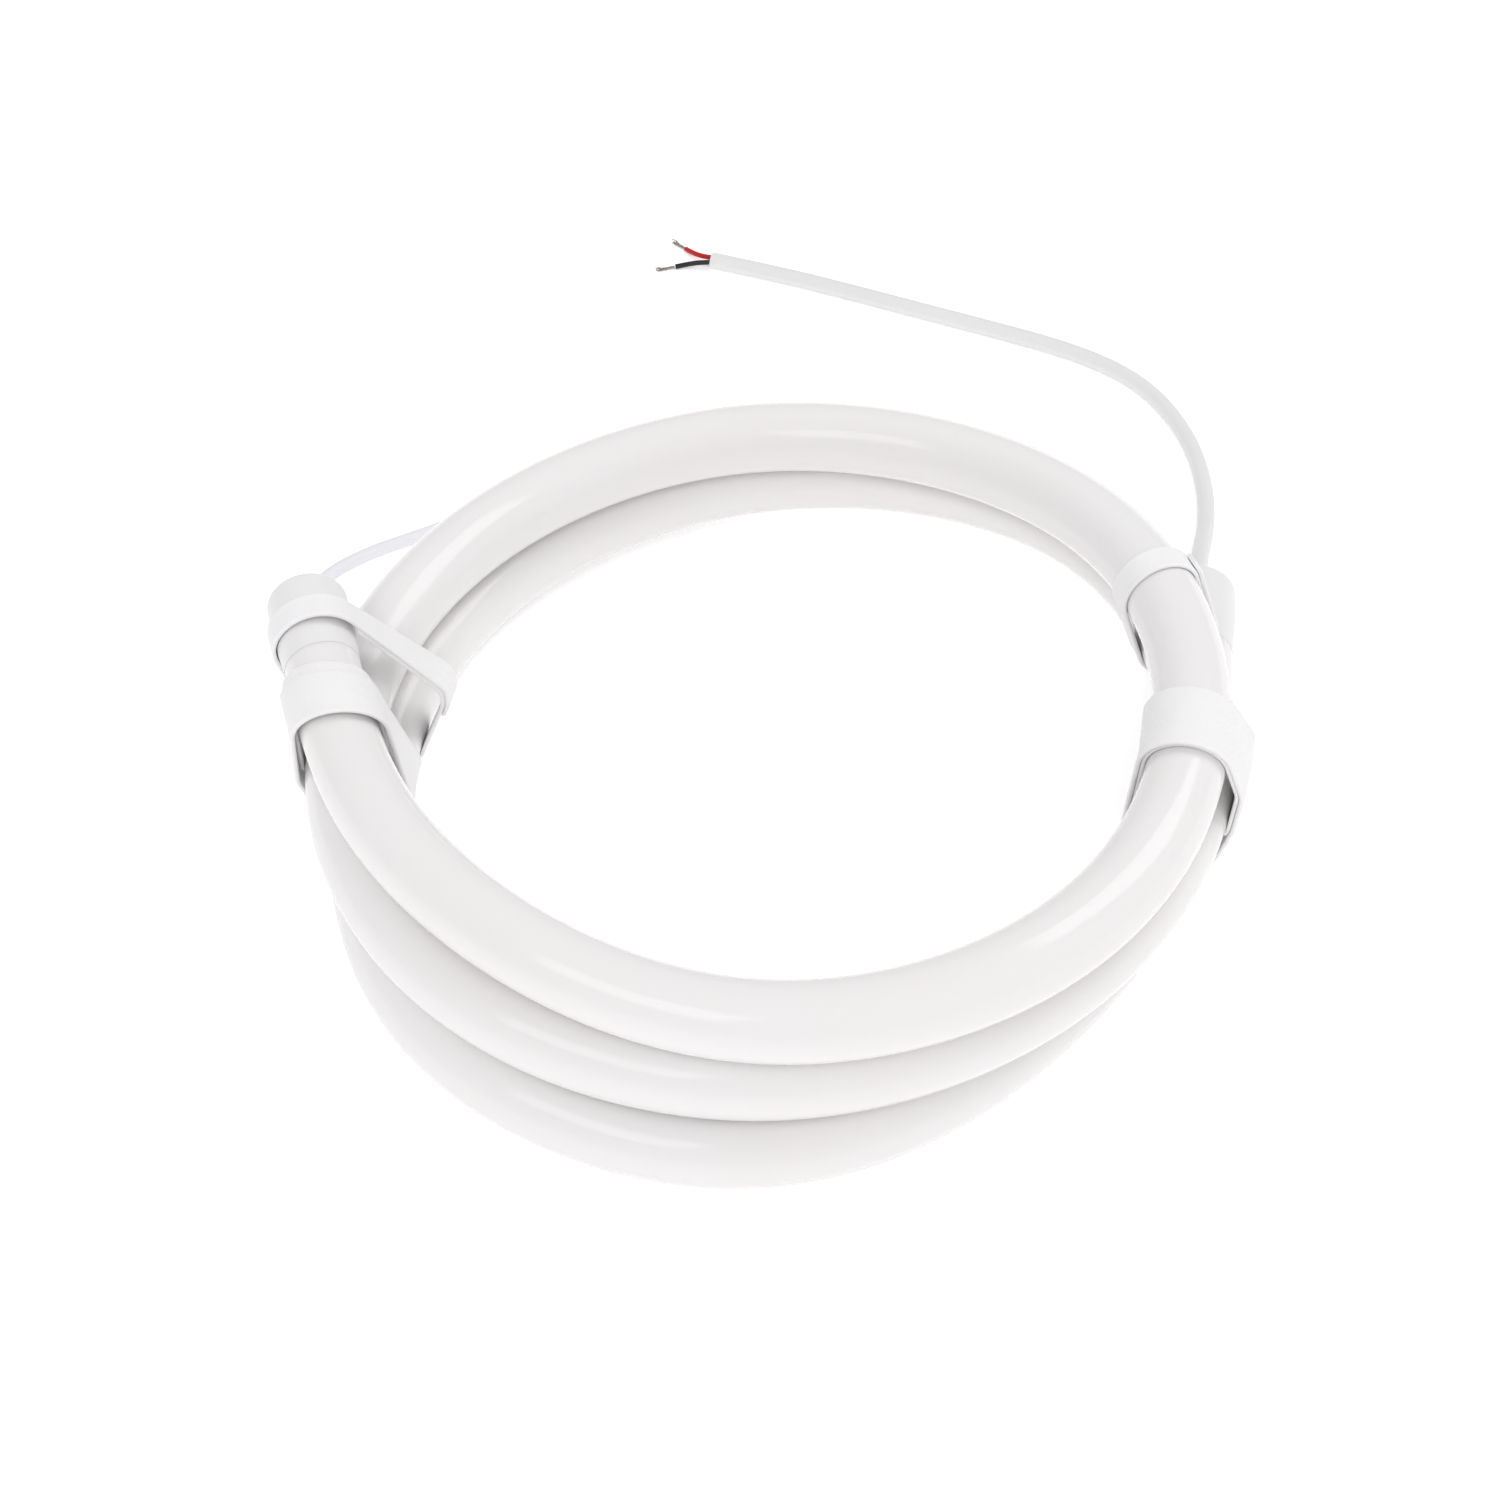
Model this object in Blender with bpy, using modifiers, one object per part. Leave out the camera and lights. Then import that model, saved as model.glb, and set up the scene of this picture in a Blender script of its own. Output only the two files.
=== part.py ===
"""LED neon flex: a loose coil of round silicone light tube, two end caps with leads, four tie straps."""

import math

import bmesh
import bpy
import numpy as np
from mathutils import Matrix, Vector

MM = 0.001

# Driving sizes, in metres
TUBE_DIAMETER = 0.0220
COIL_RADIUS = 0.1220
CAP_DIAMETER = 0.0236
CAP_LENGTH = 0.0300
CAP_GRIP = 0.0140
CAP_ROUNDING = 0.0030
CAP_TAPER = 0.0002
CAP_TAPER_START = 0.0135
LEAD_SOCKET_DEPTH = 0.0080
POWER_LEAD_DIAMETER = 0.0058
LINK_LEAD_DIAMETER = 0.0042
CORE_DIAMETER = 0.0018
CORE_LENGTH = 0.0120
STRAND_DIAMETER = 0.0011
STRAND_LENGTH = 0.0070
STRAP_THICKNESS = 0.0013
NARROW_STRAP_WIDTH = 0.0092
WIDE_STRAP_WIDTH = 0.0175
LEFT_LAP_SLIDE = 0.0030
RIGHT_LAP_SLIDE = 0.0060
STRAP_FLAT = 0.0100
LOOSE_BEND_RADIUS = 0.0100

# Fits that follow from them
TOUCH_GAP = 0.0003
STRAP_GAP = 0.0005
LAYER_GAP = 0.00035
TUBE_RADIUS = TUBE_DIAMETER / 2
CAP_RADIUS = CAP_DIAMETER / 2
CAP_BORE_RADIUS = TUBE_RADIUS + TOUCH_GAP
LAYER = TUBE_DIAMETER + LAYER_GAP
LIFT = STRAP_THICKNESS + STRAP_GAP

# The coil's course, from the free end at the left: turn, outward shift in tube diameters,
# level in layers above the floor, share of the strap's lift
COIL_CENTRE_X = -0.00445
COIL_CENTRE_Y = -0.0020
COIL_COURSE = (
    (0.0625, -0.27, 2.03, 0.8),
    (0.125, -0.37, 2.06, 0.5),
    (0.250, -0.09, 2.04, 0.0),
    (0.375, 0.10, 2.07, 0.5),
    (0.500, 0.09, 2.03, 1.0),
    (0.5625, 0.16, 1.95, 1.0),
    (0.625, 0.23, 1.72, 0.8),
    (0.750, 0.17, 1.37, 0.2),
    (0.875, -0.05, 1.09, 1.0),
    (1.000, -0.09, 1.00, 1.0),
    (1.125, -0.01, 1.02, 0.5),
    (1.250, -0.03, 1.00, 0.0),
    (1.375, 0.02, 1.03, 0.5),
    (1.500, 0.33, 1.02, 1.0),
    (1.5625, 0.52, 1.00, 1.0),
    (1.625, 0.71, 0.78, 0.8),
    (1.750, 0.40, 0.38, 0.2),
    (1.875, -0.10, 0.06, 1.0),
    (2.000, -0.35, 0.00, 1.0),
    (2.125, 0.14, 0.00, 0.4),
    (2.250, 0.24, 0.00, 0.0),
    (2.375, -0.28, 0.00, 0.4),
    (2.490, 0.17, 0.00, 1.0),
)
LEFT_LIP_TURN = -0.0075
LEFT_LIP_SHIFT = 0.135
LEFT_LIP_LEVEL = 2.015
RIGHT_LIP_TURN = 2.563
RIGHT_LIP_SHIFT = 1.225
DEGREES_PER_STEP = 6.0
CAP_TURNS = 0.04
CAP_SIDES = 24
ROUNDING_STEPS = 4
TUBE_BEVEL = 8
POWER_BEVEL = 3
THIN_BEVEL = 2

# Straps: centre in turns at the top strand, skew of the loop from the radius and tilt from the
# vertical in degrees, width, the strands held, where the strap starts on its loop in degrees, the
# share of a turn by which it overlaps, and how far it stands off the strands at what height
STRAPS = {
    "strap_left_upper": (-0.0255, 20.0, 0.0, NARROW_STRAP_WIDTH, (-0.03, 0.95, 1.95),
                         95.0, 0.27, -0.0070, 0.030),
    "strap_left_lower": (0.0165, 0.0, 13.0, WIDE_STRAP_WIDTH + LEFT_LAP_SLIDE, (0.02, 1.01, 2.00),
                         350.0, 0.62, 0.0, 0.0),
    "strap_right_upper": (0.553, 0.0, 0.0, NARROW_STRAP_WIDTH, (0.553, 1.553),
                          335.0, 0.22, 0.0, 0.0),
    "strap_right_lower": (0.4675, 0.0, -7.0, WIDE_STRAP_WIDTH + RIGHT_LAP_SLIDE, (0.467, 1.467, 2.47),
                          340.0, 0.62, 0.0015, 0.050),
}
STRAND_REACH_TURNS = 0.12
STRAP_SECTIONS = 4
POINTS_PER_LOOP = 64
RING_POINTS = 48
BEND_POINTS = 15
RISE_START = 0.86
RISE_SHARE = 0.10

# Courses of the two leads, in mm from the coil's centre, from the cap outwards: the fall to the
# floor, then the floor
POWER_COURSE = (
    (149.6, 131.0, 2.9), (150.2, 154.5, 2.9), (145.1, 179.0, 2.9), (132.1, 202.0, 2.9),
    (112.1, 217.5, 2.9), (87.1, 229.5, 2.9), (52.1, 244.5, 2.9), (16.1, 259.5, 2.9), (-15.9, 271.0, 2.9),
)
LINK_COURSE = (
    (-135.2, 46.0, 54.2), (-136.8, 52.0, 46.0), (-138.2, 58.0, 34.0), (-139.6, 66.0, 19.5),
    (-141.0, 77.0, 7.5), (-141.8, 90.0, 2.8), (-140.1, 103.0, 2.1), (-134.5, 108.8, 2.1),
    (-128.4, 113.6, 2.1), (-120.6, 118.2, 2.1), (-112.7, 122.4, 2.1), (-104.7, 126.7, 2.1),
    (-93.4, 133.0, 2.1), (-79.4, 141.0, 2.1), (-62.4, 149.0, 2.1), (-43.4, 155.0, 2.1), (-20.4, 159.0, 2.1),
)
POINT_SPACING = 2.2
CORE_OFFSET = 0.25
CORE_BEND_RUN = 0.45
CORE_BEND_SPREAD = 0.25
POWER_CORE_SPREAD = 0.35
LINK_CORE_SPREAD = 0.30


def clear_scene():
    for obj in list(bpy.data.objects):
        bpy.data.objects.remove(obj, do_unlink=True)


def make_collection(name):
    coll = bpy.data.collections.new(name)
    bpy.context.scene.collection.children.link(coll)
    return coll


def make_material(name, colour, roughness):
    mat = bpy.data.materials.new(name)
    mat.use_nodes = True
    shader = mat.node_tree.nodes["Principled BSDF"]
    shader.inputs["Base Color"].default_value = (*colour, 1.0)
    shader.inputs["Roughness"].default_value = roughness
    mat.diffuse_color = (*colour, 1.0)
    return mat


def spline_weights(knots, samples):
    """Second derivatives of a natural cubic through the knots, then its value at the samples."""
    count = len(knots)
    gaps = np.diff(knots)
    left = np.eye(count)
    right = np.zeros((count, count))
    for i in range(1, count - 1):
        left[i, i - 1] = gaps[i - 1]
        left[i, i] = 2 * (gaps[i - 1] + gaps[i])
        left[i, i + 1] = gaps[i]
        right[i, i - 1] = 6 / gaps[i - 1]
        right[i, i] = -6 / gaps[i - 1] - 6 / gaps[i]
        right[i, i + 1] = 6 / gaps[i]
    bend = np.linalg.solve(left, right)
    cell = np.clip(np.searchsorted(knots, samples) - 1, 0, count - 2)
    width = gaps[cell]
    b = (samples - knots[cell]) / width
    a = 1 - b
    rows = np.arange(len(samples))
    weights = np.zeros((len(samples), count))
    weights[rows, cell] += a
    weights[rows, cell + 1] += b
    weights += ((a ** 3 - a) * width ** 2 / 6)[:, None] * bend[cell]
    weights += ((b ** 3 - b) * width ** 2 / 6)[:, None] * bend[cell + 1]
    return weights


def knot_runs(points):
    return np.concatenate([[0.0], np.cumsum(np.linalg.norm(np.diff(points, axis=0), axis=1))])


def smooth_course(points, step):
    """Even samples along a smooth curve through the points."""
    points = np.array(points, float)
    knots = knot_runs(points)
    count = max(2, int(round(knots[-1] / step)) + 1)
    return spline_weights(knots, np.linspace(0, knots[-1], count)) @ points


def on_coil(turn, shift, height):
    angle = math.pi + 2 * math.pi * turn
    reach = COIL_RADIUS + shift * TUBE_DIAMETER
    return (COIL_CENTRE_X + reach * math.cos(angle), COIL_CENTRE_Y + reach * math.sin(angle), height)


def coil_points():
    """Centreline of the tube between the caps' lips, with the turn at each point."""
    left_height = TUBE_RADIUS + LIFT + LEFT_LIP_LEVEL * LAYER
    right_height = CAP_RADIUS + LIFT / 4
    stations = [(*on_coil(LEFT_LIP_TURN, LEFT_LIP_SHIFT, left_height), LEFT_LIP_TURN)]
    for turn, shift, level, lift in COIL_COURSE:
        height = TUBE_RADIUS + level * LAYER + lift * LIFT
        stations.append((*on_coil(turn, shift, height), turn))
    stations.append((*on_coil(RIGHT_LIP_TURN, RIGHT_LIP_SHIFT, right_height), RIGHT_LIP_TURN))
    stations = np.array(stations)
    knots = knot_runs(stations[:, :3])
    count = int(round(knots[-1] / (COIL_RADIUS * math.radians(DEGREES_PER_STEP)))) + 1
    line = spline_weights(knots, np.linspace(0, knots[-1], count)) @ stations
    return line[:, :3], line[:, 3]


def unit(vector):
    return vector / np.linalg.norm(vector)


def sweep(name, points, diameter, bevel_resolution, mat, coll):
    """A round cord or tube along the points."""
    curve = bpy.data.curves.new(name, "CURVE")
    curve.dimensions = "3D"
    curve.bevel_depth = diameter / 2
    curve.bevel_resolution = bevel_resolution
    curve.use_fill_caps = True
    spline = curve.splines.new("POLY")
    spline.points.add(len(points) - 1)
    for point, place in zip(spline.points, points):
        point.co = (*place, 1.0)
    curve.materials.append(mat)
    obj = bpy.data.objects.new(name, curve)
    coll.objects.link(obj)
    return obj


def lathe(name, profile, steps, mat, coll):
    """Turn a profile of (radius, height) about Z."""
    mesh = bpy.data.meshes.new(name)
    verts = [(radius, 0.0, height) for radius, height in profile]
    mesh.from_pydata(verts, [(i, i + 1) for i in range(len(verts) - 1)], [])
    mesh.materials.append(mat)
    obj = bpy.data.objects.new(name, mesh)
    coll.objects.link(obj)
    screw = obj.modifiers.new("turn", "SCREW")
    screw.angle = 2 * math.pi
    screw.steps = steps
    screw.render_steps = steps
    screw.use_merge_vertices = True
    screw.merge_threshold = 0.00002
    screw.use_smooth_shade = True
    screw.use_normal_calculate = True
    return obj


def frame_at(origin, forward):
    """Matrix with +Z along forward and its origin at the point."""
    z = Vector(forward).normalized()
    x = Vector((0, 0, 1)).cross(z).normalized()
    y = z.cross(x)
    turn = Matrix((x, y, z)).transposed().to_4x4()
    turn.translation = Vector(origin)
    return turn


def end_cap(name, back, inward, lead_radius, mat, coll):
    """A moulded cap: sleeve over the tube's end, solid back with a socket for the lead."""
    socket = lead_radius + TOUCH_GAP
    floor = CAP_LENGTH - CAP_GRIP
    lip = CAP_RADIUS - CAP_TAPER
    profile = [(0.0, floor), (CAP_BORE_RADIUS, floor), (CAP_BORE_RADIUS, CAP_LENGTH),
               (lip - CAP_TAPER, CAP_LENGTH), (lip, CAP_LENGTH - CAP_TAPER), (CAP_RADIUS, CAP_TAPER_START)]
    for i in range(ROUNDING_STEPS + 1):
        angle = math.pi / 2 * (1 - i / ROUNDING_STEPS)
        profile.append((CAP_RADIUS - CAP_ROUNDING * (1 - math.sin(angle)),
                        CAP_ROUNDING * (1 - math.cos(angle))))
    profile += [(socket, 0.0), (socket, LEAD_SOCKET_DEPTH), (0.0, LEAD_SOCKET_DEPTH)]
    obj = lathe(name, profile, CAP_SIDES, mat, coll)
    obj.matrix_world = frame_at(back, inward)
    return obj


def hull(points):
    """Convex outline of plane points, counter-clockwise."""
    ordered = sorted(map(tuple, points))
    def half(seq):
        chain = []
        for p in seq:
            while len(chain) > 1 and ((chain[-1][0] - chain[-2][0]) * (p[1] - chain[-2][1])
                                      - (chain[-1][1] - chain[-2][1]) * (p[0] - chain[-2][0])) <= 0:
                chain.pop()
            chain.append(p)
        return chain[:-1]
    return np.array(half(ordered) + half(ordered[::-1]))


def strap_plane(turn, skew, tilt):
    """Point on the floor under the loop, its outward and upward directions, and its normal."""
    angle = math.pi + 2 * math.pi * turn
    lean = angle + math.radians(skew)
    side = np.array([math.cos(lean), math.sin(lean), 0.0])
    along = np.array([side[1], -side[0], 0.0])
    tip = math.radians(tilt)
    upright = np.array([0.0, 0.0, 1.0])
    upward = upright * math.cos(tip) - along * math.sin(tip)
    across = along * math.cos(tip) + upright * math.sin(tip)
    top = TUBE_DIAMETER + 2 * LAYER
    centre = np.array(on_coil(turn, 0.0, 0.0)) + along * top * math.tan(tip)
    return centre, side, upward, across


def strand_rings(plane, offset, strands, line, turns):
    """Points round the held strands where the plane at this offset across the strap cuts them."""
    centre, side, upward, across = plane
    depth = (line - centre) @ across - offset
    dots = []
    for i in range(len(line) - 1):
        if depth[i] * depth[i + 1] > 0:
            continue
        t = depth[i] / (depth[i] - depth[i + 1])
        turn = turns[i] + t * (turns[i + 1] - turns[i])
        if min(abs(turn - held) for held in strands) > STRAND_REACH_TURNS:
            continue
        place = line[i] + t * (line[i + 1] - line[i])
        along = unit(line[i + 1] - line[i])
        level = unit(np.cross(along, (0, 0, 1)))
        upright = np.cross(level, along)
        in_cap = i in (0, len(line) - 2)
        radius = (CAP_RADIUS if in_cap else TUBE_RADIUS) + STRAP_GAP + STRAP_THICKNESS / 2
        for angle in np.linspace(0, 2 * math.pi, RING_POINTS, endpoint=False):
            arm = radius * (math.cos(angle) * level + math.sin(angle) * upright)
            dot = place + arm - along * ((arm @ across) / (along @ across))
            dots.append(((dot - centre) @ side, (dot - centre) @ upward))
    return dots


def loose_bend(dots, stand_off, height):
    """A round bend of the strap clear of the strands: outwards, or inwards if stand_off is negative."""
    way = math.copysign(1, stand_off)
    radius = LOOSE_BEND_RADIUS
    middle = max(way * reach for reach, _ in dots) + abs(stand_off) - radius
    return [(way * (middle + radius * math.cos(angle)), height + radius * math.sin(angle))
            for angle in np.linspace(-math.pi / 2, math.pi / 2, BEND_POINTS)]


def strap_outline(dots, floor):
    """The tight closed course round the points, flat where it lies on the floor."""
    lowest = min(dots, key=lambda p: p[1])
    if lowest[1] < floor + STRAP_THICKNESS / 2:
        dots = [(reach, max(height, floor)) for reach, height in dots]
        dots += [(lowest[0] + edge, floor) for edge in (-STRAP_FLAT / 2, STRAP_FLAT / 2)]
    return hull(dots)


def strap_path(outline, start_degrees, overlap):
    """Even points once round the outline, then on over the strap's own start."""
    closed = np.vstack([outline, outline[:1]])
    run = knot_runs(closed)
    total = run[-1]
    arms = closed - (outline.min(axis=0) + outline.max(axis=0)) / 2
    angles = np.unwrap(np.arctan2(arms[:, 1], arms[:, 0]))
    wanted = angles[0] + (math.radians(start_degrees) - angles[0]) % (2 * math.pi)
    first = np.interp(wanted, angles, run)

    def on_loop(value):
        return np.array([np.interp((first + value) % total, run, closed[:, k]) for k in range(2)])

    path = []
    for value in np.arange(round(POINTS_PER_LOOP * (1 + overlap))) * total / POINTS_PER_LOOP:
        along = unit(on_loop(value + STRAP_THICKNESS) - on_loop(value - STRAP_THICKNESS))
        share = min(1.0, max(0.0, (value / total - RISE_START) / RISE_SHARE))
        rise = (STRAP_THICKNESS + TOUCH_GAP) * share
        path.append(on_loop(value) + np.array([along[1], -along[0]]) * rise)
    return path


def strap(name, line, turns, mat, coll):
    """A band lofted across its width between its courses round the strands, then thickened."""
    turn, skew, tilt, width, strands, start, overlap, stand_off, height = STRAPS[name]
    plane = strap_plane(turn, skew, tilt)
    centre, side, upward, across = plane
    bm = bmesh.new()
    rows = []
    for offset in np.linspace(-width / 2, width / 2, STRAP_SECTIONS):
        dots = strand_rings(plane, offset, strands, line, turns)
        if stand_off:
            dots += loose_bend(dots, stand_off, height)
        base = centre + across * offset
        floor = (STRAP_THICKNESS / 2 - base[2]) / upward[2]
        path = strap_path(strap_outline(dots, floor), start, overlap)
        rows.append([bm.verts.new(base + side * reach + upward * rise) for reach, rise in path])
    for low, high in zip(rows, rows[1:]):
        for i in range(len(low) - 1):
            bm.faces.new((low[i], low[i + 1], high[i + 1], high[i]))
    mesh = bpy.data.meshes.new(name)
    bm.to_mesh(mesh)
    bm.free()
    mesh.materials.append(mat)
    mesh.shade_smooth()
    obj = bpy.data.objects.new(name, mesh)
    coll.objects.link(obj)
    solid = obj.modifiers.new("thickness", "SOLIDIFY")
    solid.thickness = STRAP_THICKNESS
    solid.offset = 0.0
    solid.use_even_offset = True
    return obj


def lead_line(back, outward, course, diameter):
    """From inside the cap's socket, straight out, down to the floor and along its course."""
    start = back - outward * (LEAD_SOCKET_DEPTH - TOUCH_GAP)
    straight = back + outward * diameter
    centre = np.array((COIL_CENTRE_X, COIL_CENTRE_Y, 0.0))
    stations = [start, back, straight] + [centre + np.array(point) * MM for point in course]
    line = smooth_course(stations, POINT_SPACING * diameter)
    line[:, 2] = np.maximum(line[:, 2], diameter / 2)
    return line


def bare_end(prefix, line, lead_diameter, spread, mats, coll):
    """Two insulated cores out of the jacket's cut end, each with its bared strands."""
    end = line[-1]
    ahead = unit(line[-1] - line[-2])
    beside = np.array([-ahead[1], ahead[0], 0.0])
    for label, turn, mat in (("red_core", -1, mats[0]), ("black_core", 1, mats[1])):
        start = end + ahead * TOUCH_GAP + beside * turn * CORE_OFFSET * lead_diameter
        start[2] = lead_diameter / 2
        tip = start + ahead * CORE_LENGTH + beside * turn * spread * CORE_LENGTH
        bend = start + (ahead * CORE_BEND_RUN + beside * turn * spread * CORE_BEND_SPREAD) * CORE_LENGTH
        tip[2] = CORE_DIAMETER / 2
        bend[2] = (start[2] + tip[2]) / 2
        core = smooth_course([start, bend, tip], POINT_SPACING * CORE_DIAMETER)
        core[:, 2] = np.maximum(core[:, 2], CORE_DIAMETER / 2)
        sweep(prefix + "_" + label, core, CORE_DIAMETER, THIN_BEVEL, mat, coll)
        on = unit(core[-1] - core[-2])
        bare = core[-1] + np.outer([TOUCH_GAP, STRAND_LENGTH], on)
        bare[:, 2] = np.maximum(bare[:, 2], STRAND_DIAMETER / 2)
        strands = prefix + "_" + label.replace("core", "strands")
        sweep(strands, bare, STRAND_DIAMETER, THIN_BEVEL, mats[2], coll)


def main():
    clear_scene()
    coll = make_collection("led neon flex")
    milky = make_material("milky_silicone", (0.86, 0.86, 0.86), 0.35)
    matte = make_material("cap_silicone", (0.74, 0.74, 0.74), 0.55)
    jacket = make_material("lead_jacket", (0.86, 0.86, 0.87), 0.45)
    woven = make_material("strap_fabric", (0.85, 0.85, 0.88), 0.9)
    red = make_material("red_core", (0.62, 0.02, 0.02), 0.4)
    black = make_material("black_core", (0.02, 0.02, 0.02), 0.4)
    copper = make_material("tinned_copper", (0.45, 0.40, 0.35), 0.35)
    cores = (red, black, copper)

    bore, turns = coil_points()
    out_left = unit(bore[0] - bore[1])
    out_right = unit(bore[-1] - bore[-2])
    line = np.vstack([bore[0] + out_left * CAP_LENGTH, bore, bore[-1] + out_right * CAP_LENGTH])
    turns = np.concatenate([[turns[0] - CAP_TURNS], turns, [turns[-1] + CAP_TURNS]])
    for name in STRAPS:
        strap(name, line, turns, woven, coll)

    grip = CAP_GRIP - TOUCH_GAP
    tube_line = np.vstack([bore[0] + out_left * grip, bore, bore[-1] + out_right * grip])
    sweep("neon_tube", tube_line, TUBE_DIAMETER, TUBE_BEVEL, milky, coll)
    end_cap("end_cap_left", line[0], -out_left, LINK_LEAD_DIAMETER / 2, matte, coll)
    end_cap("end_cap_right", line[-1], -out_right, POWER_LEAD_DIAMETER / 2, matte, coll)

    power = lead_line(line[-1], out_right, POWER_COURSE, POWER_LEAD_DIAMETER)
    sweep("power_lead", power, POWER_LEAD_DIAMETER, POWER_BEVEL, jacket, coll)
    bare_end("power", power, POWER_LEAD_DIAMETER, POWER_CORE_SPREAD, cores, coll)
    link = lead_line(line[0], out_left, LINK_COURSE, LINK_LEAD_DIAMETER)
    sweep("link_lead", link, LINK_LEAD_DIAMETER, THIN_BEVEL, jacket, coll)
    bare_end("link", link, LINK_LEAD_DIAMETER, LINK_CORE_SPREAD, cores, coll)


if __name__ == "__main__":
    main()
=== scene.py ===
"""LED neon flex: the finished look of the coiled light tube, its caps, leads and tie straps."""

import math
from collections import namedtuple

import bpy
import numpy as np
from bpy.props import FloatProperty, FloatVectorProperty, PointerProperty
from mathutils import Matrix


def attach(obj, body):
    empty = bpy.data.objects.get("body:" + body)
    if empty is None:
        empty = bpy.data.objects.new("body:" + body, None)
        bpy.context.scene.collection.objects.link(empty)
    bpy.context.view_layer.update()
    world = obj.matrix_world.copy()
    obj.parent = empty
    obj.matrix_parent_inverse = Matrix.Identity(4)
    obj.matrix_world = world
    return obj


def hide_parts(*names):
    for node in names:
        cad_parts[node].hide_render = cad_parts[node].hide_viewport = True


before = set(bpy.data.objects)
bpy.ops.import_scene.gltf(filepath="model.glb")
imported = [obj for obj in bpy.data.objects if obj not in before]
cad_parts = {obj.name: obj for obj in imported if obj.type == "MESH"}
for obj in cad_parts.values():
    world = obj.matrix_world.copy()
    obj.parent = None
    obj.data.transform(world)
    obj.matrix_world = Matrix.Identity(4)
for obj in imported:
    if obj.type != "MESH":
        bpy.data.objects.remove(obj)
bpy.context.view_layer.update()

bl_info = {
    "name": "LED neon flex coil",
    "version": (1, 0, 0),
    "blender": (4, 5, 0),
    "location": "View3D > Sidebar > Neon flex",
    "description": "Dresses a coiled silicone light tube with its caps, leads and tie straps",
    "category": "Object",
}

MM = 0.001
UP = np.array((0.0, 0.0, 1.0))
BODY = "root"

# Where the coil lies, and its course from the free end at the left: turn, outward shift in tube
# diameters, level in layers above the floor, share of the strap's lift
COIL_CENTRE = np.array((-0.00445, -0.0020, 0.0))
COIL_COURSE = (
    (0.0625, -0.27, 2.03, 0.8),
    (0.125, -0.37, 2.06, 0.5),
    (0.250, -0.09, 2.04, 0.0),
    (0.375, 0.10, 2.07, 0.5),
    (0.500, 0.09, 2.03, 1.0),
    (0.5625, 0.16, 1.95, 1.0),
    (0.625, 0.23, 1.72, 0.8),
    (0.750, 0.17, 1.37, 0.2),
    (0.875, -0.05, 1.09, 1.0),
    (1.000, -0.09, 1.00, 1.0),
    (1.125, -0.01, 1.02, 0.5),
    (1.250, -0.03, 1.00, 0.0),
    (1.375, 0.02, 1.03, 0.5),
    (1.500, 0.33, 1.02, 1.0),
    (1.5625, 0.52, 1.00, 1.0),
    (1.625, 0.71, 0.78, 0.8),
    (1.750, 0.40, 0.38, 0.2),
    (1.875, -0.10, 0.06, 1.0),
    (2.000, -0.35, 0.00, 1.0),
    (2.125, 0.14, 0.00, 0.4),
    (2.250, 0.24, 0.00, 0.0),
    (2.375, -0.28, 0.00, 0.4),
    (2.490, 0.17, 0.00, 1.0),
)

# Where the caps' lips lie, in the same units, how many turns a cap stands for, and the share of the
# strap's lift that the right cap has
LEFT_LIP = (-0.0075, 0.135, 2.015)
RIGHT_LIP = (2.563, 1.225)
CAP_TURNS = 0.04
RIGHT_CAP_LIFT = 0.25

# Fineness of the tube and caps
DEGREES_PER_RING = 1.5
TUBE_SIDES = 48
CAP_SIDES = 96
CAP_STEPS = 12
SOCKET_STEPS = 6
SHARP_ANGLE = math.radians(50)

# Fits between the pieces: ends that meet, the room for a strap under a strand, a strap on its
# strands, its second lap on its first, a cap's sleeve on the tube, and one level on the next
TOUCH_GAP = 0.0003
STRAP_GAP = 0.0005
STRAP_HUG = 0.0001
LAP_GAP = 0.00008
CAP_HUG = 0.00001
LAYER_GAP = 0.00035

# A strap: its centre in turns, the skew and tilt of its loop in degrees, the strap's width and how
# far its second lap slides sideways, the strands held, where it starts on its loop in degrees, the
# share of a turn by which it overlaps, and how far it stands off the strands at what height, towards
# the coil's middle where that is negative
Strap = namedtuple("Strap", "turn skew tilt width slide strands start overlap stand_off height")
STRAPS = {
    "strap_left_upper": Strap(-0.0255, 20.0, 0.0, 0.0092, 0.0, (-0.03, 0.95, 1.95),
                              95.0, 0.27, -0.0070, 0.030),
    "strap_left_lower": Strap(0.0165, 0.0, 13.0, 0.0165, 0.0045, (0.02, 1.01, 2.00),
                              350.0, 0.62, 0.0, 0.0),
    "strap_right_upper": Strap(0.553, 0.0, 0.0, 0.0092, 0.0, (0.553, 1.553),
                               335.0, 0.22, 0.0, 0.0),
    "strap_right_lower": Strap(0.4675, 0.0, -7.0, 0.0225, -0.0006, (0.467, 1.467, 2.47),
                               340.0, 0.62, 0.0006, 0.050),
}

# How near in turns a strand lies to count as held, the flat that a strap has on the floor, and its
# bend where it stands off
STRAND_REACH_TURNS = 0.12
STRAP_FLAT = 0.0100
LOOSE_BEND_RADIUS = 0.0100

# Shares of a strap's loop where it climbs onto its own start and over which it slides sideways, its
# rounded end, and how far from its end it peels up and by how much
RISE_START = 0.86
RISE_SHARE = 0.10
SLIDE_START = 0.70
SLIDE_END = 0.98
END_ROUNDING = 0.0030
PEEL_RUN = 0.0080
PEEL_LIFT = 0.0002

# Fineness of the straps
STRAP_COLUMNS = 21
STRAP_STEP = 0.0008
RING_POINTS = 96
BEND_POINTS = 25
TAPE_FACE_POINTS = 25
TAPE_EDGE_POINTS = 9

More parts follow.
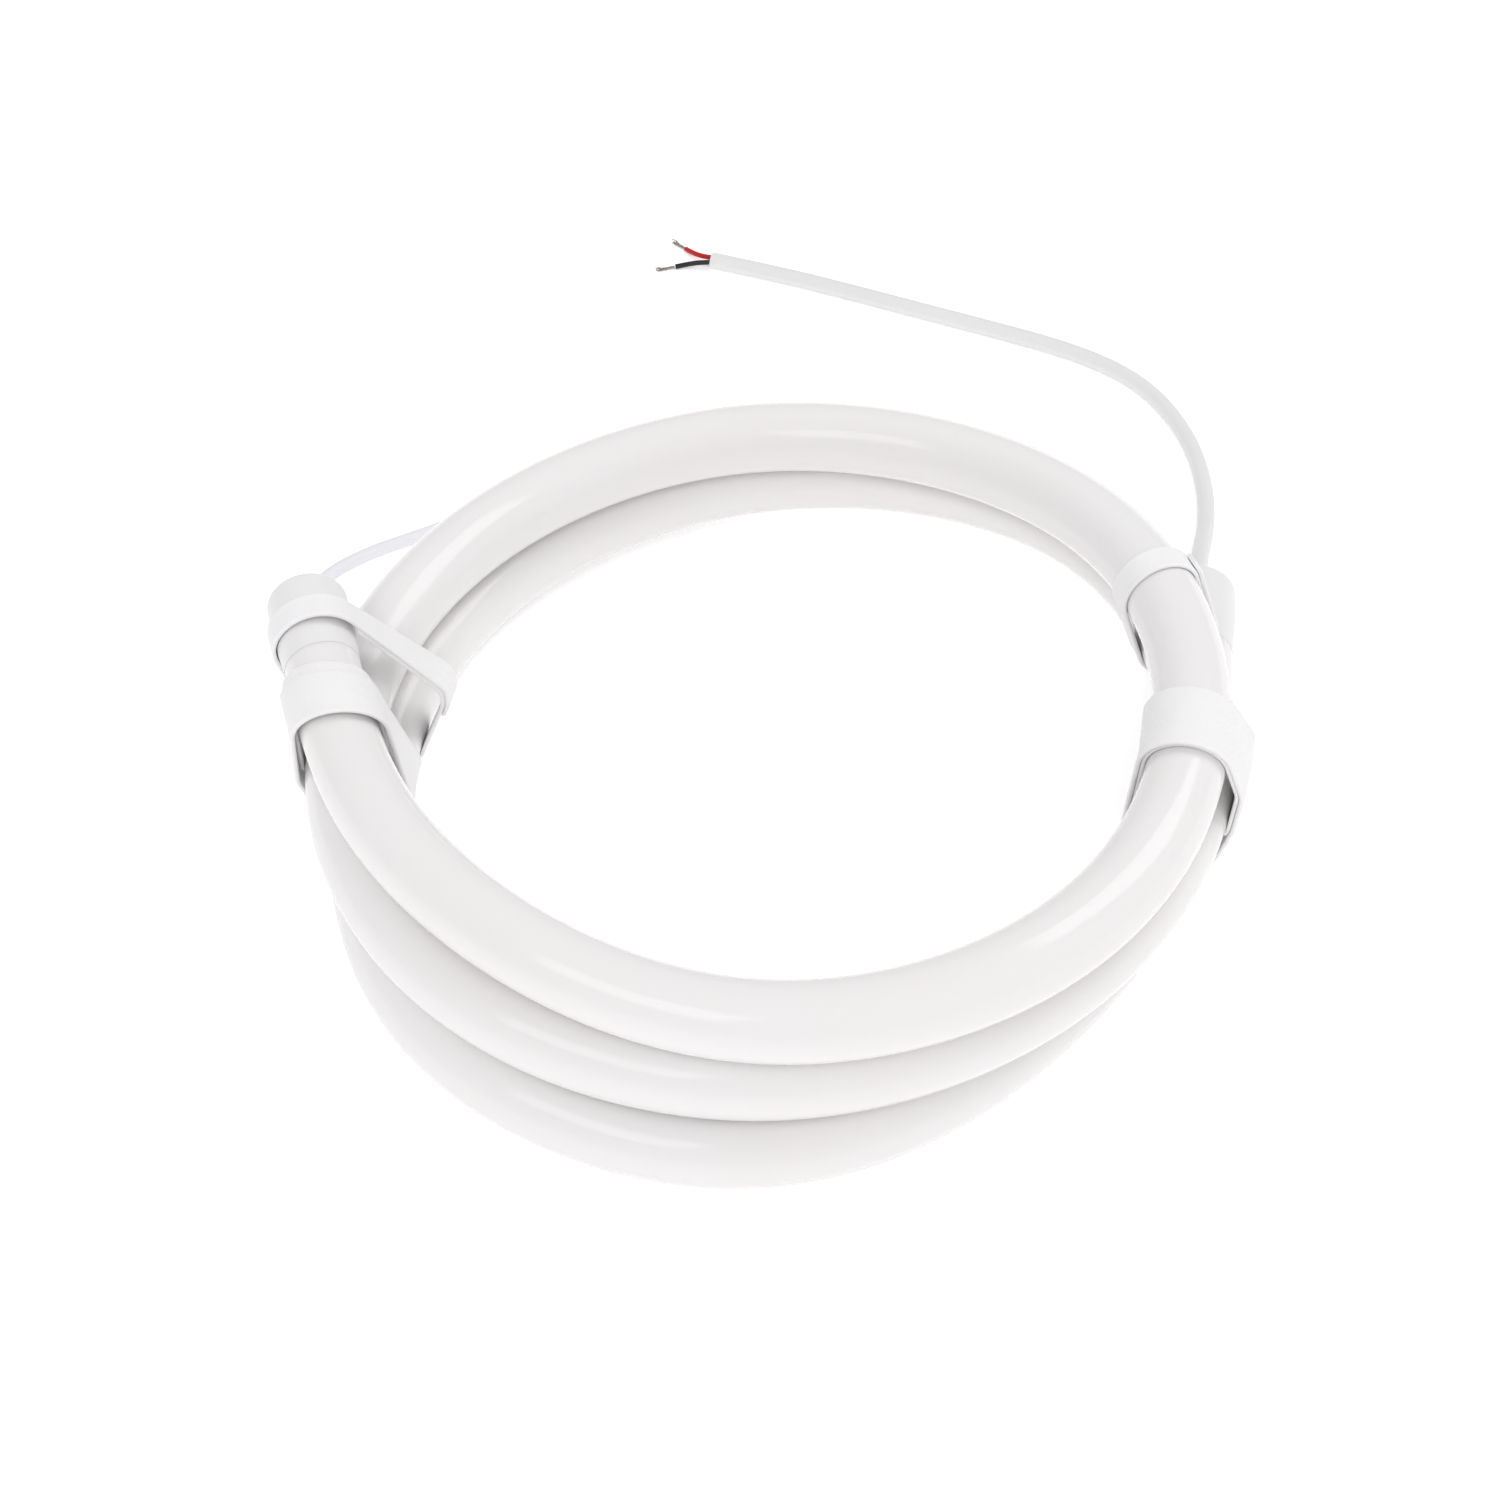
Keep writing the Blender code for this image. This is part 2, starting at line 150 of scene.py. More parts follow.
# Courses of the two leads, in mm from the coil's centre, from the cap outwards: the fall to the
# floor, then the floor
POWER_COURSE = (
    (149.6, 131.0, 2.9), (150.2, 154.5, 2.9), (145.1, 179.0, 2.9), (132.1, 202.0, 2.9),
    (112.1, 217.5, 2.9), (87.1, 229.5, 2.9), (52.1, 244.5, 2.9), (16.1, 259.5, 2.9),
    (-15.9, 271.0, 2.9),
)
LINK_COURSE = (
    (-135.2, 46.0, 54.2), (-136.8, 52.0, 46.0), (-138.2, 58.0, 34.0), (-139.6, 66.0, 19.5),
    (-141.0, 77.0, 7.5), (-141.8, 90.0, 2.8), (-140.1, 103.0, 2.1), (-134.5, 108.8, 2.1),
    (-128.4, 113.6, 2.1), (-120.6, 118.2, 2.1), (-112.7, 122.4, 2.1), (-104.7, 126.7, 2.1),
    (-93.4, 133.0, 2.1), (-79.4, 141.0, 2.1), (-62.4, 149.0, 2.1), (-43.4, 155.0, 2.1),
    (-20.4, 159.0, 2.1),
)

# The cores: their distance from the lead's middle as a share of its diameter, and shares of their
# length: where they bend, how much of their spread they have there, and the spread at their tips
CORE_OFFSET = 0.25
CORE_BEND_RUN = 0.45
CORE_BEND_SPREAD = 0.25
POWER_CORE_SPREAD = 0.35
LINK_CORE_SPREAD = 0.30

# Fineness of the leads, cores and strands
LEAD_POINTS = 36
CORE_POINTS = 9
STRAND_POINTS = 14
CURVE_STEPS = 8
JACKET_FINENESS = 8
CORE_FINENESS = 5
WIRE_FINENESS = 2

# The stage: side of the floor, width of the camera's sensor in mm, and the point that camera and
# lights look at, from the coil's centre
FLOOR_SIDE = 24.0
SENSOR_WIDTH = 36.0
LOOK_AT = (-0.0020, 0.0, 0.030)

# The lights: the way to each from that point, its width and height, the stage's setting that holds
# its power, and whether glossy faces show it
Lamp = namedtuple("Lamp", "way width height power mirrored")
LAMPS = {
    "key_softbox": Lamp((-0.38, -0.50, 0.78), 1.90, 1.30, "key_power", True),
    "side_softbox": Lamp((0.52, 0.34, 0.79), 1.80, 1.80, "side_power", True),
    "front_light": Lamp((0.0, -0.64, 0.77), 0.80, 0.80, "front_power", False),
}


def length(label, text, size):
    """A length in metres for the panel."""
    return FloatProperty(name=label, description=text, default=size, min=0.0001, precision=4,
                         unit="LENGTH")


def colour(label, text, rgb):
    """A colour for the panel."""
    return FloatVectorProperty(name=label, description=text, default=rgb, size=3, min=0.0, max=1.0,
                               subtype="COLOR")


class NEON_PG_sizes(bpy.types.PropertyGroup):
    """Sizes of the tube, its caps, leads and straps."""
    tube_diameter: length("Tube diameter", "Outside diameter of the silicone tube", 0.0220)
    coil_radius: length("Coil radius", "Radius of the coil at the tube's middle", 0.1220)
    cap_diameter: length("Cap diameter", "Outside diameter of an end cap", 0.0236)
    cap_length: length("Cap length", "Length of an end cap", 0.0300)
    cap_grip: length("Cap grip", "How far a cap reaches over the tube", 0.0140)
    cap_rounding: length("Cap rounding", "Rounding of a cap's back edge", 0.0030)
    socket_depth: length("Socket depth", "How deep a lead sits in its cap", 0.0080)
    power_diameter: length("Power lead", "Diameter of the power lead", 0.0058)
    link_diameter: length("Link lead", "Diameter of the link lead", 0.0042)
    core_diameter: length("Core diameter", "Diameter of an insulated core", 0.0018)
    core_length: length("Core length", "Length of core bared of its jacket", 0.0120)
    strand_diameter: length("Strand bundle", "Diameter of a core's bundle of strands", 0.0011)
    strand_length: length("Strand length", "Length of the bared strands", 0.0070)
    strap_thickness: length("Strap thickness", "Thickness of a tie strap", 0.0013)


class NEON_PG_colours(bpy.types.PropertyGroup):
    """Colours of the finishes."""
    tube: colour("Tube", "Milky silicone of the tube", (0.790, 0.776, 0.776))
    cap: colour("Caps", "Matt silicone of the end caps", (0.787, 0.776, 0.780))
    power: colour("Power lead", "Jacket of the power lead", (0.740, 0.736, 0.740))
    link: colour("Link lead", "Jacket of the link lead", (0.77, 0.77, 0.80))
    strap: colour("Straps", "Woven tape of the tie straps", (0.858, 0.848, 0.857))
    red: colour("Red core", "Insulation of the red core", (0.46, 0.008, 0.008))
    black: colour("Black core", "Insulation of the black core", (0.012, 0.012, 0.013))
    copper: colour("Strands", "Tinned copper of the strands", (0.50, 0.46, 0.42))
    floor: colour("Floor", "Plain floor under the coil", (0.97, 0.97, 0.97))


class NEON_PG_stage(bpy.types.PropertyGroup):
    """Camera and lights."""
    distance: length("Camera distance", "From the camera to the point it looks at", 0.817)
    elevation: FloatProperty(name="Camera elevation", description="Angle of the view above the floor",
                             default=math.radians(47.0), subtype="ANGLE")
    lens: FloatProperty(name="Lens", description="Focal length in millimetres", default=66.84, min=1.0)
    key_power: FloatProperty(name="Key light", description="Power of the softbox at the front left",
                             default=16.5, subtype="POWER")
    light_distance: length("Light distance", "From each light to the coil", 3.2)
    front_power: FloatProperty(name="Front light", description="Power of the light over the camera",
                               default=17.5, subtype="POWER")
    floor_glow: FloatProperty(name="Floor glow", description="Light that the floor gives off by itself",
                              default=0.24, min=0.0)
    side_power: FloatProperty(name="Side light", description="Power of the softbox at the right",
                              default=27.0, subtype="POWER")
    fill: FloatProperty(name="Fill", description="Strength of the even light all round", default=0.66)
    fill_colour: colour("Fill colour", "Colour of the even light all round", (0.99, 0.993, 1.0))


def unit(vector):
    """The vector's direction."""
    return vector / np.linalg.norm(vector)


def smoothstep(low, high, value):
    """Eased climb from 0 at low to 1 at high."""
    share = np.clip((value - low) / (high - low), 0.0, 1.0)
    return share * share * (3 - 2 * share)


def spline_weights(knots, samples):
    """Second derivatives of a natural cubic through the knots, then its value at the samples."""
    count = len(knots)
    gaps = np.diff(knots)
    left = np.eye(count)
    right = np.zeros((count, count))
    for i in range(1, count - 1):
        left[i, i - 1] = gaps[i - 1]
        left[i, i] = 2 * (gaps[i - 1] + gaps[i])
        left[i, i + 1] = gaps[i]
        right[i, i - 1] = 6 / gaps[i - 1]
        right[i, i] = -6 / gaps[i - 1] - 6 / gaps[i]
        right[i, i + 1] = 6 / gaps[i]
    bend = np.linalg.solve(left, right)
    cell = np.clip(np.searchsorted(knots, samples) - 1, 0, count - 2)
    width = gaps[cell]
    b = (samples - knots[cell]) / width
    a = 1 - b
    rows = np.arange(len(samples))
    weights = np.zeros((len(samples), count))
    weights[rows, cell] += a
    weights[rows, cell + 1] += b
    weights += ((a ** 3 - a) * width ** 2 / 6)[:, None] * bend[cell]
    weights += ((b ** 3 - b) * width ** 2 / 6)[:, None] * bend[cell + 1]
    return weights


def knot_runs(points):
    """Length of the line through the points up to each of them."""
    return np.concatenate([[0.0], np.cumsum(np.linalg.norm(np.diff(points, axis=0), axis=1))])


def smooth_course(points, count):
    """Even samples along a smooth curve through the points."""
    points = np.array(points, float)
    knots = knot_runs(points)
    return spline_weights(knots, np.linspace(0, knots[-1], count)) @ points


def directions(line):
    """Unit direction of the line at each of its points."""
    steps = np.gradient(line, axis=0)
    return steps / np.linalg.norm(steps, axis=1)[:, None]


def on_coil(sizes, turn, shift, height):
    """Place at this turn, outward shift in tube diameters and height."""
    angle = math.pi + 2 * math.pi * turn
    reach = sizes.coil_radius + shift * sizes.tube_diameter
    return COIL_CENTRE + (reach * math.cos(angle), reach * math.sin(angle), height)


Coil = namedtuple("Coil", "bore line turns out_left out_right")


def coil_course(sizes):
    """The tube's centreline between the caps' lips, and the same with the caps, and its turns."""
    radius = sizes.tube_diameter / 2
    layer = sizes.tube_diameter + LAYER_GAP
    lift = sizes.strap_thickness + STRAP_GAP
    turn, shift, level = LEFT_LIP
    stations = [(*on_coil(sizes, turn, shift, radius + lift + level * layer), turn)]
    for turn, shift, level, share in COIL_COURSE:
        stations.append((*on_coil(sizes, turn, shift, radius + level * layer + share * lift), turn))
    turn, shift = RIGHT_LIP
    stations.append((*on_coil(sizes, turn, shift, sizes.cap_diameter / 2 + lift * RIGHT_CAP_LIFT), turn))
    stations = np.array(stations)
    knots = knot_runs(stations[:, :3])
    count = int(round(knots[-1] / (sizes.coil_radius * math.radians(DEGREES_PER_RING)))) + 1
    samples = spline_weights(knots, np.linspace(0, knots[-1], count)) @ stations
    bore = samples[:, :3]
    out_left = unit(bore[0] - bore[1])
    out_right = unit(bore[-1] - bore[-2])
    line = np.vstack([bore[0] + out_left * sizes.cap_length, bore,
                      bore[-1] + out_right * sizes.cap_length])
    turns = np.concatenate([[samples[0, 3] - CAP_TURNS], samples[:, 3], [samples[-1, 3] + CAP_TURNS]])
    return Coil(bore, line, turns, out_left, out_right)


def skinned(name, rows, attribute=None, values=None):
    """A closed mesh through rows of points, each row a ring, with flat ends."""
    rows = np.asarray(rows)
    count, sides = rows.shape[:2]
    faces = [tuple(reversed(range(sides)))]
    for i in range(count - 1):
        for k in range(sides):
            after = (k + 1) % sides
            here = i * sides
            ahead = here + sides
            faces.append((here + k, here + after, ahead + after, ahead + k))
    faces.append(tuple(range((count - 1) * sides, count * sides)))
    mesh = bpy.data.meshes.new(name)
    mesh.from_pydata(rows.reshape(-1, 3).tolist(), [], faces)
    if attribute:
        layer = mesh.attributes.new(attribute, "FLOAT_VECTOR", "POINT")
        layer.data.foreach_set("vector", np.asarray(values, np.float32).ravel())
    mesh.shade_smooth()
    mesh.set_sharp_from_angle(angle=SHARP_ANGLE)
    mesh.validate()
    obj = bpy.data.objects.new(name, mesh)
    bpy.context.scene.collection.objects.link(obj)
    return obj


def round_rows(line, radius, sides):
    """Rings of points round a line, the first point of each level with the line, at its right."""
    along = directions(line)
    level = np.cross(along, UP)
    level /= np.linalg.norm(level, axis=1)[:, None]
    upright = np.cross(level, along)
    angles = np.linspace(0, 2 * math.pi, sides, endpoint=False)
    arms = (np.cos(angles)[None, :, None] * level[:, None]
            - np.sin(angles)[None, :, None] * upright[:, None])
    return line[:, None] + arms * radius


def level_and_upright(along):
    """The two directions square to this one, the first of them level."""
    level = unit(np.cross(along, UP))
    return level, np.cross(level, along)


def dress(obj, material, *nodes):
    """Gives a piece its finish, its body and the solids that it stands for."""
    obj.data.materials.append(material)
    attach(obj, BODY)
    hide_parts(*nodes)
    return obj


class Graph:
    """Adds nodes to a node tree and joins their sockets."""

    def __init__(self, tree):
        self.tree = tree

    def add(self, kind, inputs=None, **settings):
        """A new node of this kind with its inputs and settings."""
        node = self.tree.nodes.new("ShaderNode" + kind)
        for key, value in settings.items():
            setattr(node, key, value)
        self.feed(node, inputs or {})
        return node

    def feed(self, node, inputs):
        """Joins or sets the node's inputs."""
        for key, value in inputs.items():
            if isinstance(value, bpy.types.NodeSocket):
                self.tree.links.new(value, node.inputs[key])
            else:
                node.inputs[key].default_value = value

    def math(self, operation, *values):
        """Output of a Math node with these inputs."""
        return self.add("Math", dict(enumerate(values)), operation=operation).outputs[0]

    def spread(self, value, low=0.0, high=1.0, to_low=0.0, to_high=1.0):
        """The value with its range from low to high mapped to another range."""
        return self.add("MapRange", {"Value": value, "From Min": low, "From Max": high,
                                     "To Min": to_low, "To Max": to_high}).outputs[0]


def new_group(name, inputs, outputs):
    """A shader node group with these float or colour sockets, ready to be filled."""
    tree = bpy.data.node_groups.new(name, "ShaderNodeTree")
    for label, value in inputs:
        kind = "NodeSocketFloat" if isinstance(value, float) else "NodeSocketColor"
        tree.interface.new_socket(name=label, in_out="INPUT", socket_type=kind).default_value = value
    for label, kind in outputs:
        tree.interface.new_socket(name=label, in_out="OUTPUT", socket_type=kind)
    return Graph(tree), tree.nodes.new("NodeGroupInput").outputs, tree.nodes.new("NodeGroupOutput")


def make_drift_group():
    """Slow drift between two near colours, as thickness and handling leave in soft plastic."""
    grey = (0.8, 0.8, 0.8, 1.0)
    graph, given, out = new_group(
        "colour_drift",
        (("Colour", grey), ("Tint", grey), ("Scale", 12.0)),
        (("Colour", "NodeSocketColor"),))
    place = graph.add("TexCoord").outputs["Object"]
    cloud = graph.add("TexNoise", {"Vector": place, "Scale": given["Scale"], "Detail": 3.0})
    share = graph.spread(cloud.outputs["Fac"], low=0.35, high=0.65)
    mix = graph.add("Mix", {0: share, 6: given["Colour"], 7: given["Tint"]}, data_type="RGBA")
    graph.feed(out, {"Colour": mix.outputs[2]})
    return graph.tree


def make_skin_group():
    """Fine grain of moulded or drawn plastic, with a patchy gloss."""
    graph, given, out = new_group(
        "moulded_skin",
        (("Grain", 2500.0), ("Patches", 30.0), ("Smoothest", 0.3), ("Roughest", 0.4)),
        (("Roughness", "NodeSocketFloat"), ("Height", "NodeSocketFloat")))
    place = graph.add("TexCoord").outputs["Object"]
    grain = graph.add("TexNoise", {"Vector": place, "Scale": given["Grain"], "Detail": 4.0})
    patches = graph.add("TexNoise", {"Vector": place, "Scale": given["Patches"], "Detail": 5.0})
    rough = graph.spread(patches.outputs["Fac"], low=0.3, high=0.7,
                         to_low=given["Smoothest"], to_high=given["Roughest"])
    graph.feed(out, {"Roughness": rough, "Height": grain.outputs["Fac"]})
    return graph.tree


def make_drawn_group():
    """Long faint lines that the die leaves along an extruded tube, and its slow swells."""
    graph, given, out = new_group(
        "drawn_lines", (("Lines", 900.0), ("Swells", 25.0)), (("Height", "NodeSocketFloat"),))
    place = graph.add("Attribute", attribute_name="skin").outputs["Vector"]
    stretched = graph.add("Mapping", {"Vector": place, "Scale": (1.0, 1.0, 0.02)}).outputs[0]
    lines = graph.add("TexNoise", {"Vector": stretched, "Scale": given["Lines"], "Detail": 2.0})
    swells = graph.add("TexNoise", {"Vector": place, "Scale": given["Swells"], "Detail": 1.0})
    line_height = 0.08
    height = graph.math("MULTIPLY_ADD", lines.outputs["Fac"], line_height, swells.outputs["Fac"])
    graph.feed(out, {"Height": height})
    return graph.tree


def make_weave_group():
    """Plain weave of a tape that its own fuzz half hides, with a firmer woven edge, and a mask of its
    hollows for painted shade.
    """
    graph, given, out = new_group(
        "woven_tape",
        (("Warp", 0.00055), ("Weft", 0.00045), ("Fuzz", 3000.0), ("Half width", 0.0085)),
        (("Height", "NodeSocketFloat"), ("Hollows", "NodeSocketFloat")))
    weft_waver = 2.2
    warp_waver = 1.6
    fuzz_height = 0.9
    place = graph.add("Attribute", attribute_name="band").outputs["Vector"]
    axes = graph.add("SeparateXYZ", {0: place}).outputs
    fuzz = graph.add("TexNoise", {"Vector": place, "Scale": given["Fuzz"], "Detail": 5.0})
    waver = graph.add("TexNoise", {"Vector": place, "Scale": 350.0}).outputs["Fac"]
    along = graph.math("MULTIPLY_ADD", waver, weft_waver, graph.math(
        "MULTIPLY", math.pi, graph.math("DIVIDE", axes[0], given["Weft"])))
    across = graph.math("MULTIPLY_ADD", waver, warp_waver, graph.math(
        "MULTIPLY", math.pi, graph.math("DIVIDE", axes[1], given["Warp"])))
    over = graph.math("MULTIPLY", graph.math("SINE", along), graph.math("SINE", across))
    threads = graph.spread(over, low=-1.0)
    edge = graph.math("DIVIDE", graph.math("ABSOLUTE", axes[1]), given["Half width"])
    firm = graph.spread(edge, low=0.86, high=0.94, to_high=0.5)
    fuzzy = graph.math("MULTIPLY_ADD", fuzz.outputs["Fac"], fuzz_height, threads)
    height = graph.math("ADD", fuzzy, firm)
    # the hollows between the threads, where the finish paints shade and roughens the tape
    shaded_hollows = graph.spread(height, low=0.4, to_low=1.0, to_high=0.0)
    graph.feed(out, {"Height": height, "Hollows": shaded_hollows})
    return graph.tree


def placed(graph, group, inputs):
    """Outputs of one of the shared node groups, placed in a material with its own values."""
    node = graph.add("Group", node_tree=bpy.data.node_groups[group])
    graph.feed(node, inputs)
    return node.outputs


def new_finish(name):
    """A material with a Principled shader, and its graph."""
    material = bpy.data.materials.new(name)
    material.use_nodes = True
    return material, Graph(material.node_tree), material.node_tree.nodes["Principled BSDF"]


def shade(rgb, share):
    """The colour made darker to this share."""
    return tuple(channel * share for channel in rgb)


def rgba(rgb):
    """The colour as a socket takes it."""
    return (*rgb, 1.0)


def soft_plastic(name, rgb, tint, *, grain, smooth, rough, bump, glow=0.0, deep=0.001):
    """Silicone or soft plastic with a finely grained skin; glow is the share of light that enters."""
    material, graph, shader = new_finish(name)
    drift = placed(graph, "colour_drift", {"Colour": rgba(rgb), "Tint": rgba(tint)})
    skin = placed(graph, "moulded_skin", {"Grain": grain, "Smoothest": smooth, "Roughest": rough})
    relief = graph.add("Bump", {"Height": skin["Height"], "Strength": bump, "Distance": 0.00005})
    graph.feed(shader, {
        "Base Color": drift["Colour"], "Roughness": skin["Roughness"], "IOR": 1.41,
        "Subsurface Weight": glow, "Subsurface Radius": (1.0, 0.95, 0.9), "Subsurface Scale": deep,
        "Normal": relief.outputs[0]})
    return material, graph, shader, relief


def tube_finish(colours):
    """Glossy milky silicone, a little warmer in places, with the die's faint lines."""
    base = colours.tube
    warmer = (base[0], base[1] * 0.992, base[2] * 0.985)
    material, graph, shader, relief = soft_plastic(
        "milky_silicone", base, warmer, grain=1500.0, smooth=0.08, rough=0.12, bump=0.15,
        glow=0.45, deep=0.0030)
    lines = placed(graph, "drawn_lines", {})
    swell = graph.add("Bump", {"Height": lines["Height"], "Strength": 0.5, "Distance": 0.0004,
                               "Normal": relief.outputs[0]})
    graph.feed(shader, {"Normal": swell.outputs[0]})
    return material


def cap_finish(colours):
    """Matt silicone of the end caps."""
    return soft_plastic("cap_silicone", colours.cap, shade(colours.cap, 0.965),
                        grain=1600.0, smooth=0.36, rough=0.46, bump=0.4)[0]


def jacket_finish(name, rgb, darkest):
    """Satin jacket of a lead, darker in places down to this share."""
    return soft_plastic(name, rgb, shade(rgb, darkest),
                        grain=1800.0, smooth=0.36, rough=0.5, bump=0.35, glow=0.15, deep=0.002)[0]


def core_finish(name, rgb, tint, rough):
    """Glossier insulation of a core."""
    return soft_plastic(name, rgb, tint, grain=4000.0, smooth=0.28, rough=rough, bump=0.3)[0]


def woven_finish(colours, name, half_width):
    """Woven tape with painted shade between its threads, where it is also rougher."""
    material, graph, shader = new_finish(name)
    weave = placed(graph, "woven_tape", {"Half width": half_width})
    drift = placed(graph, "colour_drift", {
        "Colour": rgba(colours.strap), "Tint": rgba(shade(colours.strap, 0.97)), "Scale": 60.0})
    # painted shade: the tape's colour darkens towards this darker colour in the hollows between its
    # threads
    depth = graph.spread(weave["Hollows"], to_high=0.35)
    hollow_shade = rgba(shade(colours.strap, 0.86))
    mix = graph.add("Mix", {0: depth, 6: drift["Colour"], 7: hollow_shade}, data_type="RGBA")
    rough = graph.spread(weave["Hollows"], to_low=0.72, to_high=0.9)
    relief = graph.add("Bump", {"Height": weave["Height"], "Strength": 0.55, "Distance": 0.00012})
    graph.feed(shader, {
        "Base Color": mix.outputs[2], "Roughness": rough, "Sheen Weight": 0.25, "Sheen Roughness": 0.5,
        "Specular IOR Level": 0.25, "Normal": relief.outputs[0]})
    return material


def metal_finish(colours):
    """Tinned copper, duller in spots."""
    material, graph, shader = new_finish("tinned_copper")
    drift = placed(graph, "colour_drift", {
        "Colour": rgba(colours.copper), "Tint": rgba(shade(colours.copper, 0.7)), "Scale": 900.0})
    skin = placed(graph, "moulded_skin", {
        "Grain": 6000.0, "Patches": 1200.0, "Smoothest": 0.25, "Roughest": 0.45})
    relief = graph.add("Bump", {"Height": skin["Height"], "Strength": 0.3, "Distance": 0.00003})
    graph.feed(shader, {"Base Color": drift["Colour"], "Roughness": skin["Roughness"], "Metallic": 1.0,
                        "Normal": relief.outputs[0]})
    return material


def add_floor(glow, rgb):
    """A wide pale floor that gives off a little light."""
    bpy.ops.mesh.primitive_plane_add(size=FLOOR_SIDE, location=(0.0, 0.0, 0.0))
    floor = bpy.context.object
    floor.name = "floor"
    material, graph, shader = new_finish("floor_paper")
    graph.feed(shader, {"Base Color": rgba(rgb), "Roughness": 0.9, "Specular IOR Level": 0.1,
                        "Emission Strength": glow})
    floor.data.materials.append(material)


def add_camera(scene, stage, target):
    """The camera, level from side to side, that looks down on the target."""
    view = bpy.data.cameras.new("camera")
    view.sensor_width = SENSOR_WIDTH
    view.lens = stage.lens
    camera = bpy.data.objects.new("camera", view)
    scene.collection.objects.link(camera)
    back = np.array((0.0, -math.cos(stage.elevation), math.sin(stage.elevation)))
    camera.location = target + back * stage.distance
    camera.rotation_euler = (math.pi / 2 - stage.elevation, 0.0, 0.0)
    scene.camera = camera


def add_light(scene, stage, name, row, target):
    """A soft rectangular light turned to the target."""
    lamp = bpy.data.lights.new(name, "AREA")
    lamp.shape = "RECTANGLE"
    lamp.size = row.width
    lamp.size_y = row.height
    lamp.energy = getattr(stage, row.power)
    light = bpy.data.objects.new(name, lamp)
    light.visible_glossy = row.mirrored
    scene.collection.objects.link(light)
    light.location = target + unit(np.array(row.way)) * stage.light_distance
    aim = bpy.data.objects.new(name + "_aim", None)
    aim.location = target
    scene.collection.objects.link(aim)
    track = light.constraints.new("TRACK_TO")
    track.target = aim
    track.track_axis = "TRACK_NEGATIVE_Z"
    track.up_axis = "UP_Y"


def build_stage(context):
    """A pale floor, a camera that looks down on the coil, three soft lights and an even fill."""
    scene = context.scene
    stage = scene.neon_stage
    target = COIL_CENTRE + LOOK_AT
    add_floor(stage.floor_glow, scene.neon_colours.floor)
    add_camera(scene, stage, target)
    for name, row in LAMPS.items():
        add_light(scene, stage, name, row, target)
    world = bpy.data.worlds.new("studio")
    world.use_nodes = True
    background = world.node_tree.nodes["Background"]
    background.inputs["Color"].default_value = rgba(stage.fill_colour)
    background.inputs["Strength"].default_value = stage.fill
    scene.world = world
    scene.view_settings.view_transform = "Standard"


def cord_curve(name, line, diameter, fineness):
    """A round cord as one smooth Bezier spline through the points."""
    curve = bpy.data.curves.new(name, "CURVE")
    curve.dimensions = "3D"
    curve.bevel_depth = diameter / 2
    curve.bevel_resolution = fineness
    curve.resolution_u = CURVE_STEPS
    curve.use_fill_caps = True
    spline = curve.splines.new("BEZIER")
    spline.bezier_points.add(len(line) - 1)
    reach = np.gradient(line, axis=0) / 3
    for point, place, arm in zip(spline.bezier_points, line, reach):
        point.co = place
        point.handle_left = place - arm
        point.handle_right = place + arm
    obj = bpy.data.objects.new(name, curve)
    bpy.context.scene.collection.objects.link(obj)
    return obj


def lead_line(back, outward, course, sizes, diameter):
    """From inside the cap's socket, straight out, down to the floor and along its course."""
    start = back - outward * (sizes.socket_depth - TOUCH_GAP)
    straight = back + outward * diameter
    stations = [start, back, straight] + [COIL_CENTRE + np.array(point) * MM for point in course]
    line = smooth_course(stations, LEAD_POINTS)
    line[:, 2] = np.maximum(line[:, 2], diameter / 2)
    return line


def strand_bundle(name, start, on, sizes):
    """Seven fine wires, one straight and six wound round it, that part a little at their ends."""
    wires = 7
    wire_radius = sizes.strand_diameter / 6
    twist = 2 * math.pi * 0.8
    mean_splay = 1.8
    splay_swing = 1.2
    swing_step = 2.4
    shortening = 0.08
    beside, upright = level_and_upright(on)
    curve = bpy.data.curves.new(name, "CURVE")
    curve.dimensions = "3D"
    curve.bevel_depth = wire_radius
    curve.bevel_resolution = WIRE_FINENESS
    curve.use_fill_caps = True
    for wire in range(wires):
        reach = 0.0 if wire == 0 else 2 * wire_radius
        splay = mean_splay + splay_swing * math.sin(swing_step * wire)
        short = 1.0 - shortening * (wire % 3)
        spline = curve.splines.new("POLY")
        spline.points.add(STRAND_POINTS - 1)
        for k, point in enumerate(spline.points):
            share = k / (STRAND_POINTS - 1)
            angle = 2 * math.pi * wire / (wires - 1) + twist * share
            arm = reach * (1 + splay * share ** 3)
            place = start + on * (share * short * sizes.strand_length)
            place = place + arm * (math.cos(angle) * beside + math.sin(angle) * upright)
            place[2] = max(place[2], wire_radius)
            point.co = (*place, 1.0)
    obj = bpy.data.objects.new(name, curve)
    bpy.context.scene.collection.objects.link(obj)
    return obj


